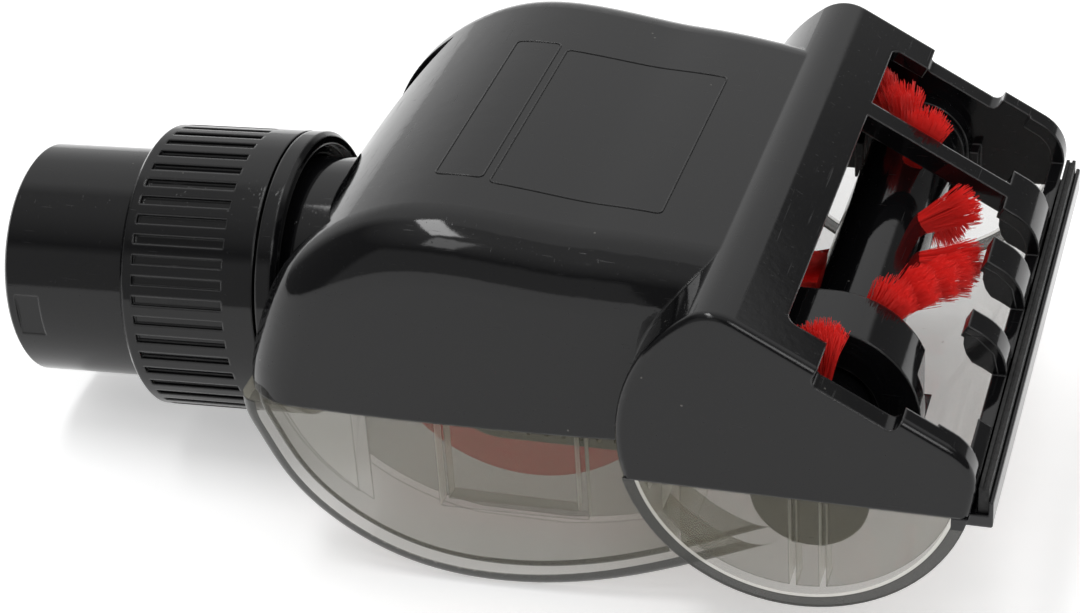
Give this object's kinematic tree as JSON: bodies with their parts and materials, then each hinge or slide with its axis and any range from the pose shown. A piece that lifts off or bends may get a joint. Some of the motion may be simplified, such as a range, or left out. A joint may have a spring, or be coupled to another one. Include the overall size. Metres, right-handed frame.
{
  "type": "vacuum turbo brush",
  "caption": "Air-driven turbo brush head with swivel tube, see-through turbine cover, bristle roller in a sloping sole and toothed belt drive.",
  "frame": {"origin": "centre of the connector tube's open end, on the tube's axis", "axes": "+X forward from the tube to the roller, +Y to the side away from the belt, +Z towards the sole and its mouth; the head lies sole up as pictured"},
  "size_m": [0.1576, 0.0942, 0.059],
  "materials": {
    "black_plastic": "glossy, lightly scratched",
    "clear_plastic": "smoky see-through, lightly scratched",
    "red_plastic": "satin",
    "red_bristle": "stiff bristle",
    "steel": "ground",
    "bronze": "dull",
    "black_rubber": "matte",
    "felt": "felt"
  },
  "bodies": {
    "housing": {"swivel_seal": "felt", "neck_tube": "black_plastic", "base_housing": "black_plastic", "clear_cover": "clear_plastic", "front_strip": "black_rubber", "turbine_bearing_near": "steel", "turbine_bearing_far": "steel", "bearing_mount_near": "black_rubber", "bearing_mount_far": "black_rubber", "drive_belt": "black_rubber", "roller_bush_near": "bronze", "roller_bearing_block_near": "black_plastic", "roller_bush_far": "bronze", "roller_bearing_block_far": "black_plastic"},
    "swivel": {"connector_tube": "black_plastic", "grip_collar": "black_plastic", "swivel_retaining_ring": "black_plastic"},
    "turbine": {"turbine_wheel": "red_plastic", "turbine_shaft": "steel", "turbine_pulley": "red_plastic"},
    "roller": {"roller_core": "black_plastic", "roller_pulley": "black_plastic", "bristle_row_a": "red_bristle", "bristle_row_b": "red_bristle", "roller_axle_near": "steel", "roller_axle_far": "steel", "roller_end_cap_near": "black_plastic", "roller_end_cap_far": "black_plastic"}
  },
  "joints": [
    {"name": "connector_swivel", "type": "hinge", "parent": "housing", "child": "swivel", "pos_m": [0, 0, 0], "axis": [0.999, 0, 0.0436], "continuous": true},
    {"name": "turbine_spin", "type": "hinge", "parent": "housing", "child": "turbine", "pos_m": [0.0846, 0, 0.0068], "axis": [0, 1, 0], "continuous": true},
    {"name": "roller_spin", "type": "hinge", "parent": "housing", "child": "roller", "pos_m": [0.1316, 0, 0.0104], "axis": [0, 1, 0], "continuous": true}
  ],
  "couplings": [
    {"joint": "roller_spin", "follows": "turbine_spin", "ratio": 0.66667}
  ]
}
